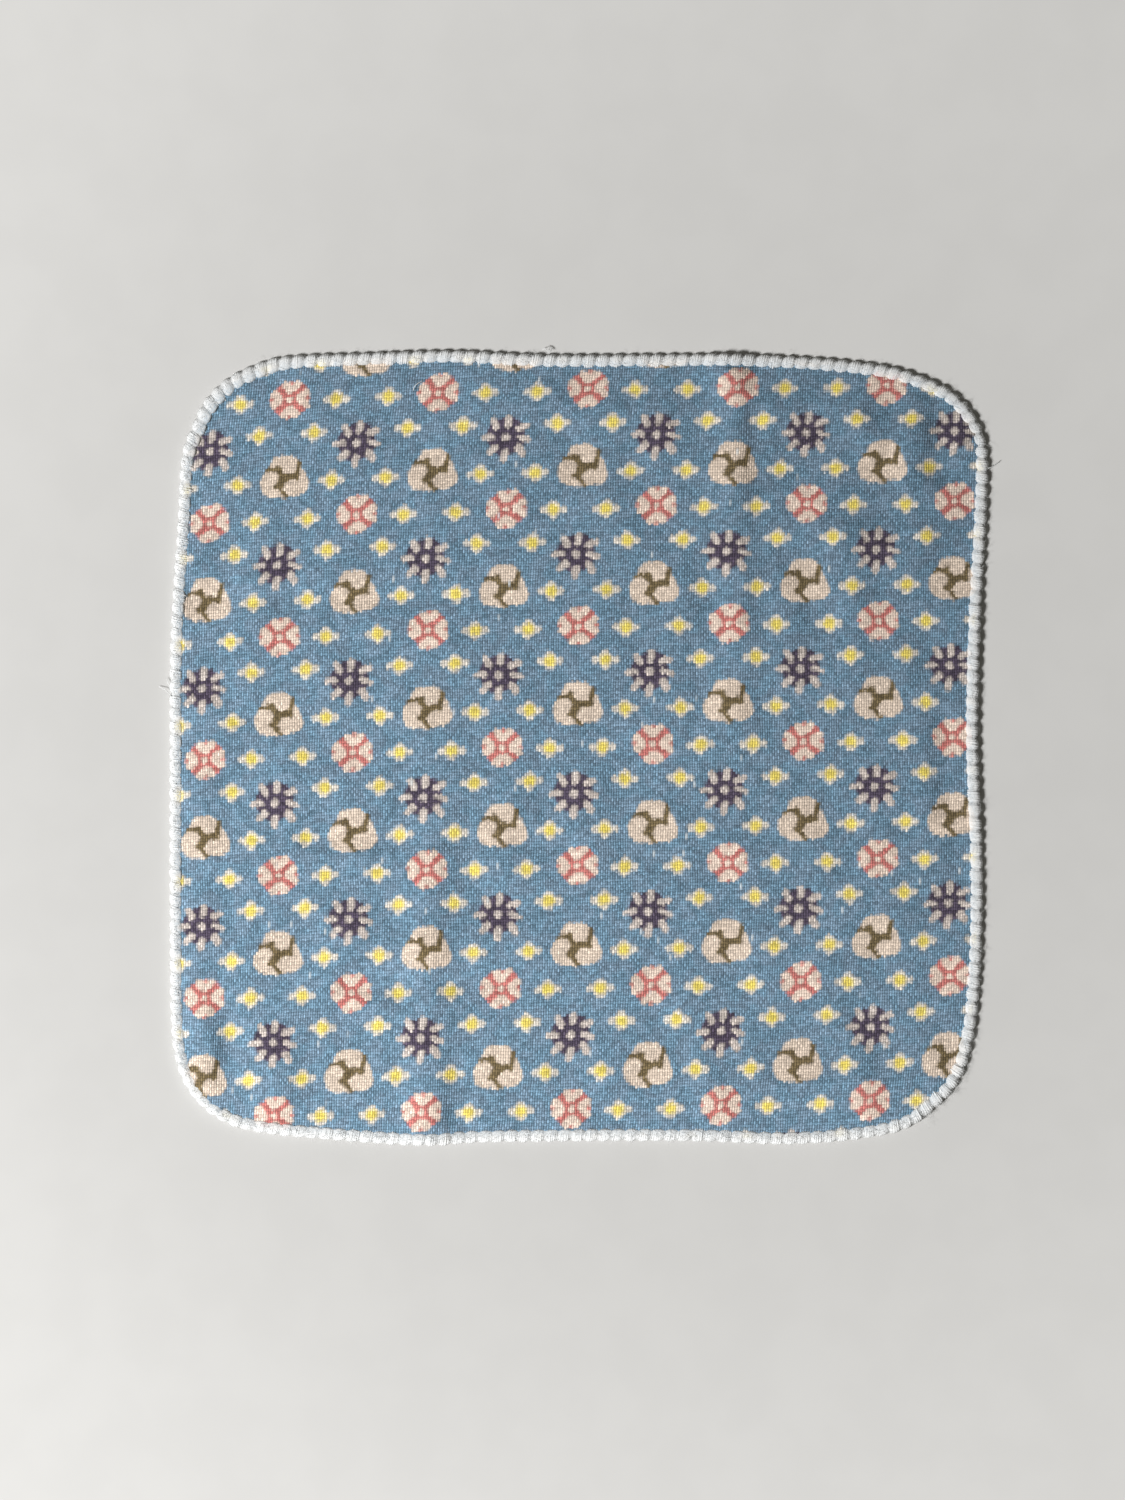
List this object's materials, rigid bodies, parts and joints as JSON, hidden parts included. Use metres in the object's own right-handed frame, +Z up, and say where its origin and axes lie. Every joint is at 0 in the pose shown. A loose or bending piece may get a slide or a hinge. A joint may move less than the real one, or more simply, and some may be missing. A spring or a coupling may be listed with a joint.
{
  "type": "handkerchief",
  "caption": "Small square cotton handkerchief with rounded corners, laid flat: blue with rows of little printed flowers, its cut edge wrapped in a white overlock edging.",
  "frame": {"origin": "centre of the cloth on the surface that it lies on", "axes": "+Z up out of the printed face, +Y towards the far edge with the print upright, +X to the right"},
  "size_m": [0.2495, 0.2416, 0.0034],
  "materials": {
    "printed_cotton": "matt open plain weave, printed with small flowers on slate blue",
    "edging_thread": "soft woolly white thread"
  },
  "bodies": {
    "root": {"cloth": "printed_cotton", "edge_stitching": "edging_thread"}
  },
  "joints": []
}
